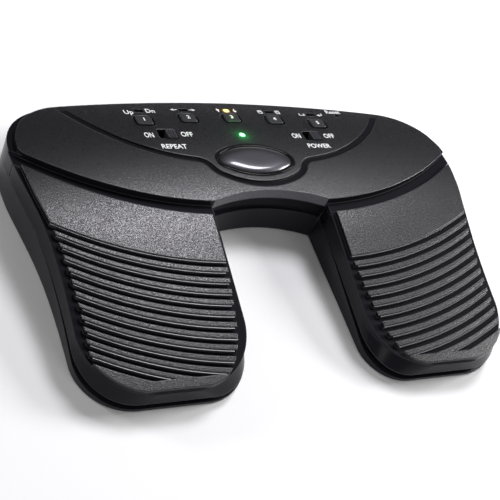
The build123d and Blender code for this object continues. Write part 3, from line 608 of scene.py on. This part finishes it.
# The same again with a green lamp, the brightest point of the panel.
GREEN_MIDDLE = on_top(*POWER_LIGHT)
GREEN_ACRYLIC = glowing("green_lit_acrylic", "#7dff9c", strength=9.0, middle=GREEN_MIDDLE, reach=0.0022)

# White ink, printed with a soft pad: opaque and slightly matt, so the words read evenly from any side.
WHITE_INK = plastic("white_printing_ink", "#f4f4f4", 0.5, grain_mm=0.2, grain_height_mm=0.0, edge_mm=0.01)

BY_SLOT = {
    "base_plastic": TRAY_ABS,
    "cover_plastic": COVER_ABS,
    "pedal_plastic": PEDAL_ABS,
    "badge_rim": RIM_ABS,
    "badge_dome": BADGE_FOIL,
    "circuit_board": BOARD_LACQUER,
    "chip_black": CHIP_EPOXY,
    "screw_steel": ZINC_STEEL,
    "switch_body": CHIP_EPOXY,
    "light_green": GREEN_ACRYLIC,
    "light_amber": AMBER_ACRYLIC,
    "light_window": WINDOW_ACRYLIC,
    "knob_plastic": KNOB_NYLON,
    "battery_wrap": BATTERY_FOIL,
    "socket_steel": ZINC_STEEL,
    "foot_rubber": FOOT_RUBBER,
    "buffer_rubber": BUFFER_SILICONE,
    "plunger_plastic": PLUNGER_NYLON,
    "button_rubber": BUTTON_RUBBER,
}
for part in frame["record"]["subparts"]:
    shown = frame["nodes"][part["node"]]
    for slot in shown.material_slots:
        slot.material = BY_SLOT[part["material_slot"]]


def shown_object(name, data):
    """An object in the scene that shows a mesh, a curve, a light or a camera."""
    made = bpy.data.objects.new(name, data)
    bpy.context.scene.collection.objects.link(made)
    return made


def mesh_piece(name, mesh, material):
    """An object made of the finished mesh."""
    data = bpy.data.meshes.new(name)
    mesh.to_mesh(data)
    mesh.free()
    data.materials.append(material)
    return shown_object(name, data)


def settle(piece, body):
    """Fixes a finished piece to its body."""
    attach(piece, body)
    return piece


def lie_on_cover(x, y, lift):
    """Where something flat sits on the cover over (x, y), tilted with the surface."""
    slope = math.asin((y - CROWN_Y) / ARCH_RADIUS)
    up = Vector((0, math.sin(slope), math.cos(slope)))
    across = Vector((1, 0, 0))
    turn = Matrix((across, up.cross(across), up)).transposed().to_4x4()
    return Matrix.Translation(Vector((x, y, cover_height(y))) + up * lift) @ turn


def badge_outline():
    """Points round the badge's oval of four tangent arcs, counted from its right end."""
    end_middle = BADGE_HALF_LENGTH - BADGE_END_RADIUS
    rise = BADGE_HALF_WIDTH - BADGE_END_RADIUS
    long_radius = (end_middle**2 + BADGE_HALF_WIDTH**2 - BADGE_END_RADIUS**2) / (2 * rise)
    turn = math.atan2(end_middle, long_radius - BADGE_HALF_WIDTH)
    quarter = math.pi / 2
    arcs = (
        (end_middle, 0, BADGE_END_RADIUS, turn - quarter, quarter - turn),
        (0, BADGE_HALF_WIDTH - long_radius, long_radius, quarter - turn, quarter + turn),
        (-end_middle, 0, BADGE_END_RADIUS, quarter + turn, 3 * quarter - turn),
        (0, long_radius - BADGE_HALF_WIDTH, long_radius, 3 * quarter - turn, 3 * quarter + turn),
    )
    points = []
    for x, y, radius, start, end in arcs:
        for step in range(BADGE_ARC_POINTS):
            angle = start + (end - start) * step / BADGE_ARC_POINTS
            points.append((x + radius * math.cos(angle), y + radius * math.sin(angle)))
    return points


def domed_badge():
    """The badge's plate: nearly flat in the middle, rolled down at its edge, over an upright foot."""
    mesh = bmesh.new()
    outline = badge_outline()
    crown = mesh.verts.new((0, 0, BADGE_CROWN_HEIGHT))
    rings = []
    for share in DOME_RINGS:
        height = BADGE_CROWN_HEIGHT - (BADGE_CROWN_HEIGHT - BADGE_EDGE_HEIGHT) * share**DOME_POWER
        rings.append([mesh.verts.new((x * share, y * share, height)) for x, y in outline])
    rings.append([mesh.verts.new((x, y, -BADGE_FOOT_DEPTH)) for x, y in outline])
    for number in range(len(outline)):
        following = (number + 1) % len(outline)
        mesh.faces.new((crown, rings[0][number], rings[0][following]))
        for inner, outer in zip(rings, rings[1:]):
            mesh.faces.new((inner[number], outer[number], outer[following], inner[following]))
    mesh.faces.new(rings[-1][::-1])
    for face in mesh.faces:
        face.smooth = True
    mesh.transform(lie_on_cover(0, BADGE_Y, 0))
    piece = settle(mesh_piece("badge_dome", mesh, BADGE_FOIL), "housing")
    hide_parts("badge_plate")


def bore_plug(name, side, start_x, end_x, end_lean):
    """The plug that closes the end of a hinge pin's bore, flush with its wall and with the wall's top."""
    mesh = bmesh.new()
    near, far = [], []
    for step in range(PLUG_STEPS + 1):
        angle = math.pi + math.pi * step / PLUG_STEPS
        y = HINGE_Y + PLUG_RADIUS * math.cos(angle)
        wall_top = WALL_TOP + min(y - HINGE_Y, 0.0) * WALL_TOP_SLOPE
        z = min(HINGE_Z + PLUG_RADIUS * math.sin(angle), wall_top)
        near.append(mesh.verts.new((side * start_x, y, z)))
        far.append(mesh.verts.new((side * (end_x + (y - HINGE_Y) * end_lean), y, z)))
    mesh.faces.new(near)
    mesh.faces.new(far)
    for number in range(len(near)):
        following = (number + 1) % len(near)
        mesh.faces.new((near[number], near[following], far[following], far[number]))
    bmesh.ops.recalc_face_normals(mesh, faces=mesh.faces[:])
    settle(mesh_piece(name, mesh, TRAY_ABS), "housing")


def pressed_buffer(name, node):
    """A copy of the rubber buffer under a pedal, fixed to the housing in place of the original."""
    solid = frame["nodes"][node]
    rubber = shown_object(name, solid.data.copy())
    rubber.matrix_world = solid.matrix_world
    settle(rubber, "housing")
    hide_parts(node)
    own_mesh(rubber)


def corner_bead(name, side):
    """The upright bead that closes the corner between the arch's wall and the side of the notch."""
    mesh = bmesh.new()
    bmesh.ops.create_cone(
        mesh,
        cap_ends=True,
        segments=BEAD_SIDES,
        radius1=BEAD_RADIUS,
        radius2=BEAD_RADIUS,
        depth=BEAD_TOP - BEAD_FOOT,
        matrix=Matrix.Translation((side * ARCH_CORNER_X, ARCH_CORNER_Y, (BEAD_TOP + BEAD_FOOT) / 2)),
    )
    # The round wall is shaded smooth, and the caps at both ends stay flat.
    for face in mesh.faces:
        face.smooth = len(face.verts) == 4
    settle(mesh_piece(name, mesh, TRAY_ABS), "housing")


def rib_edge(number, x):
    """The y of the front edge of a rib at x on the right pedal."""
    bend = RIB_RADIUS - math.sqrt(RIB_RADIUS**2 - (x - RIB_MIDDLE_X) ** 2)
    return RIB_FIRST_Y - number * RIB_PITCH + bend


def ledge_run(tread, side, number):
    """The points along a rib's front foot, as far as the rib stands over a groove."""
    run = []
    above = 1.0
    down = Vector((0, 0, -1))
    for step in range(LEDGE_STEPS):
        x = LEDGE_START_X + step * LEDGE_STEP
        y = rib_edge(number, x)
        top = tread_height(y)
        rib_hit = tread.ray_cast(Vector((side * x, y + LEDGE_WIDTH, above)), down)[0]
        groove_hit = tread.ray_cast(Vector((side * x, y - 2 * LEDGE_WIDTH, above)), down)[0]
        if not rib_hit or not groove_hit:
            continue
        if top - rib_hit.z < LEDGE_DROP and top - groove_hit.z < 2 * TREAD_DROP:
            run.append((x, y))
    return run


def ledge_bar(mesh, side, run):
    """A bar along the points: it reaches a little into the rib and under the groove's floor."""
    rings = []
    for x, y in run:
        top = tread_height(y) - LEDGE_DROP
        low = tread_height(y) - TREAD_DROP - LEDGE_DROP / 4
        rear = y + LEDGE_WIDTH / 4
        front = y - LEDGE_WIDTH
        corners = ((rear, top), (front, top), (front, low), (rear, low))
        rings.append([mesh.verts.new((side * x, corner_y, z)) for corner_y, z in corners])
    for first, second in zip(rings, rings[1:]):
        for corner in range(4):
            following = (corner + 1) % 4
            mesh.faces.new((first[corner], first[following], second[following], second[corner]))
    if rings:
        mesh.faces.new(rings[0][::-1])
        mesh.faces.new(rings[-1])


def rib_ledges(name, pedal, body, side):
    """The low ledge along the front foot of each rib, as long as the rib above it."""
    tread = BVHTree.FromObject(frame["nodes"][pedal], bpy.context.evaluated_depsgraph_get())
    mesh = bmesh.new()
    for number in range(RIB_COUNT):
        ledge_bar(mesh, side, ledge_run(tread, side, number))
    bmesh.ops.recalc_face_normals(mesh, faces=mesh.faces[:])
    settle(mesh_piece(name, mesh, LEDGE_HIGHLIGHT_ABS), body)


def printed_word(name, word, x, y, height, width=None, body="housing", proud=0.0):
    """A word printed on the cover or a button, its capitals height tall, stretched to width if given."""
    curve = bpy.data.curves.new(name, "FONT")
    curve.body = word
    curve.align_x = "CENTER"
    curve.align_y = "CENTER"
    curve.size = height / CAPITAL_SHARE
    curve.extrude = INK_THICKNESS
    curve.offset = INK_SPREAD
    curve.resolution_u = LETTER_STEPS
    typed = shown_object(name, curve)
    bpy.context.view_layer.update()
    mesh = bpy.data.meshes.new_from_object(typed.evaluated_get(bpy.context.evaluated_depsgraph_get()))
    bpy.data.objects.remove(typed)
    printed = shown_object(name, mesh)
    if width:
        across = [vertex.co.x for vertex in mesh.vertices]
        mesh.transform(Matrix.Diagonal((width / (max(across) - min(across)), 1, 1, 1)))
    mesh.transform(lie_on_cover(x, y, proud + WORD_LIFT))
    mesh.materials.append(WHITE_INK)
    settle(printed, body)


def printed_lines(name, x, y, lines):
    """Printed strokes on the cover: each line is a run of points in millimetres round (x, y)."""
    mesh = bmesh.new()
    for points in lines:
        for start_mm, end_mm in zip(points, points[1:]):
            start = Vector(start_mm) * MM
            end = Vector(end_mm) * MM
            along = (end - start).normalized() * STROKE_WIDTH / 2
            side = Vector((-along.y, along.x))
            start = start - along
            end = end + along
            corners = (start - side, end - side, end + side, start + side)
            mesh.faces.new([mesh.verts.new((corner.x, corner.y, 0)) for corner in corners])
    mesh.transform(lie_on_cover(x, y, MARK_LIFT))
    settle(mesh_piece(name, mesh, WHITE_INK), "housing")


def arrow(tip, tail, head=1.2, half_width=0.72):
    """A small arrow's lines, from its tail to its tip, in millimetres."""
    direction = Vector((tip[0] - tail[0], tip[1] - tail[1])).normalized()
    side = Vector((-direction.y, direction.x))
    base = Vector(tip) - direction * head
    left = tuple(base + side * half_width)
    right = tuple(base - side * half_width)
    return [[tail, tip], [left, tip, right, left]]


def mouse_outline(x):
    """A small box with its upper part split in two, round x, in millimetres."""
    left, right = x - 1.0, x + 1.0
    box = [(left, -1.3), (right, -1.3), (right, 1.3), (left, 1.3), (left, -1.3)]
    return [box, [(left, 0.3), (right, 0.3)], [(x, 0.3), (x, 1.3)]]


HANDS = ((-1, "left"), (1, "right"))
domed_badge()
for side, hand in HANDS:
    bore_plug(f"{hand}_outer_bore_plug", side, OUTER_WALL_X - WALL, OUTER_WALL_X, OUTER_WALL_LEAN)
    bore_plug(f"{hand}_inner_bore_plug", side, NOTCH_WALL_X + WALL, NOTCH_WALL_X, 0.0)
    pressed_buffer(f"{hand}_pressed_buffer", f"{hand}_return_buffer")
for side, hand in HANDS:
    corner_bead(f"{hand}_corner_bead", side)
for side, hand in HANDS:
    rib_ledges(f"{hand}_rib_ledges", f"{hand}_pedal", f"{hand}_pedal_body", side)

for name, word, x, y, height, width in WORDS:
    printed_word(name, word, x, y, height, width)
for number, (x, y) in enumerate(BUTTONS, start=1):
    body = f"mode_button_{number}_body"
    printed_word(f"numeral_{number}", str(number), x, y, NUMERAL_HEIGHT, body=body, proud=BUTTON_PROUD)

# The marks beside the lights of buttons 2 to 5, in millimetres from the light.
LEFT_ARROW = arrow((-6.3, 0.3), (-3.4, 0.3))
RIGHT_ARROW = arrow((6.3, 0.3), (3.4, 0.3))
UP_ARROW = arrow((-4.6, 1.5), (-4.6, -1.3))
DOWN_ARROW = arrow((4.6, -1.3), (4.6, 1.5))
SPACE_BAR = [[(-6.6, 0.6), (-6.6, -0.8), (-3.8, -0.8), (-3.8, 0.6)]]
RETURN_ARROW = arrow((3.8, -0.6), (6.6, -0.6)) + [[(6.6, -0.6), (6.6, 1.0)]]
printed_lines("arrows_sideways", *WINDOWS[1], LEFT_ARROW + RIGHT_ARROW)
printed_lines("arrows_upright", *WINDOWS[2], UP_ARROW + DOWN_ARROW)
printed_lines("mouse_marks", *WINDOWS[3], mouse_outline(-5.0) + mouse_outline(5.0))
printed_lines("space_and_return_marks", *WINDOWS[4], SPACE_BAR + RETURN_ARROW)

# Painted board, rolled plain white: pale and flat, so that it shows only soft shadows.
pale, pale_tree = new_material("pale_floor")
pale_shader = add_node(
    pale_tree,
    "ShaderNodeBsdfPrincipled",
    {"Base Color": linear("#fcfcfc"), "Roughness": 0.9, "Specular IOR Level": 0.1},
)["BSDF"]
add_node(pale_tree, "ShaderNodeOutputMaterial", (pale_shader,))

floor_mesh = bpy.data.meshes.new("floor")
floor_corners = [(x * FLOOR_REACH, y * FLOOR_REACH, 0) for x, y in ((-1, -1), (1, -1), (1, 1), (-1, 1))]
floor_mesh.from_pydata(floor_corners, [], [(0, 1, 2, 3)])
floor_mesh.materials.append(pale)
floor = shown_object("floor", floor_mesh)


def soft_light(name, place, target, size, watts, colour="#ffffff"):
    """A square softbox over the floor, aimed at the target."""
    lamp = bpy.data.lights.new(name, "AREA")
    lamp.shape = "SQUARE"
    lamp.size = size
    lamp.energy = watts
    lamp.color = linear(colour)[:3]
    stand = shown_object(name, lamp)
    stand.location = place
    stand.rotation_euler = (Vector(target) - Vector(place)).to_track_quat("-Z", "Y").to_euler()


def small_glow(name, spot, colour, watts):
    """Light that a lit pipe spills on the cover round it."""
    lamp = bpy.data.lights.new(name, "POINT")
    lamp.energy = watts
    lamp.shadow_soft_size = SPILL_RADIUS
    lamp.color = linear(colour)[:3]
    stand = shown_object(name, lamp)
    stand.location = Vector(spot) + Vector((0, 0, SPILL_HEIGHT))
    stand.visible_glossy = False


# The key gives the treads their broad sheen. The side light shades the floor on the left of the pedal
# and keeps the rest of it white. The top and front ones open the shadows, the rim one lights the rear
# left edge, and the corner one the walls at the front left. Each line gives a light's place, what it is
# aimed at, its side length and its watts.
soft_light("key_softbox", (0.36, 0.40, 0.84), (0, 0, 0), 0.30, 6.4, "#fbf9ff")
soft_light("side_softbox", (1.0, 0.04, 0.62), (0, 0, 0), 0.35, 9.5)
soft_light("top_softbox", (-0.34, -0.40, 1.0), (0, 0, 0), 0.42, 0.9)
soft_light("front_softbox", (0.30, -1.0, 0.42), (0, 0, 0), 0.4, 2.2)
soft_light("rim_softbox", (-0.80, 0.60, 0.50), (-0.1, 0.3, 0), 0.22, 2.6)
soft_light("corner_softbox", (-0.80, -0.75, 0.30), (0, 0, 0), 0.25, 0.8)
small_glow("green_spill", GREEN_MIDDLE, "#30ff60", 0.03)
small_glow("amber_spill", AMBER_MIDDLE, "#ffb040", 0.002)

# The room that the plastic mirrors, and the white backdrop that only the camera sees.
world = bpy.data.worlds.new("studio")
world.use_nodes = True
studio = world.node_tree
studio.nodes.clear()
seen = add_node(studio, "ShaderNodeLightPath")["Is Camera Ray"]
room = add_node(studio, "ShaderNodeBackground", (linear("#ffffff"), ROOM_STRENGTH))["Background"]
backdrop = add_node(studio, "ShaderNodeBackground", (linear("#ffffff"), BACKDROP_STRENGTH))["Background"]
surroundings = add_node(studio, "ShaderNodeMixShader", (seen, room, backdrop))["Shader"]
add_node(studio, "ShaderNodeOutputWorld", (surroundings,))
bpy.context.scene.world = world
bpy.context.scene.view_settings.view_transform = "Standard"

eye = bpy.data.cameras.new("eye")
eye.lens = EYE_LENS_MM
eye.sensor_width = EYE_SENSOR_MM
eye.clip_start = EYE_NEAR
camera = shown_object("eye", eye)
aim = (Vector(EYE_TARGET) - Vector(EYE_PLACE)).to_track_quat("-Z", "Y").to_matrix().to_4x4()
camera.matrix_world = Matrix.Translation(EYE_PLACE) @ aim @ Matrix.Rotation(EYE_ROLL, 4, "Z")
bpy.context.scene.camera = camera
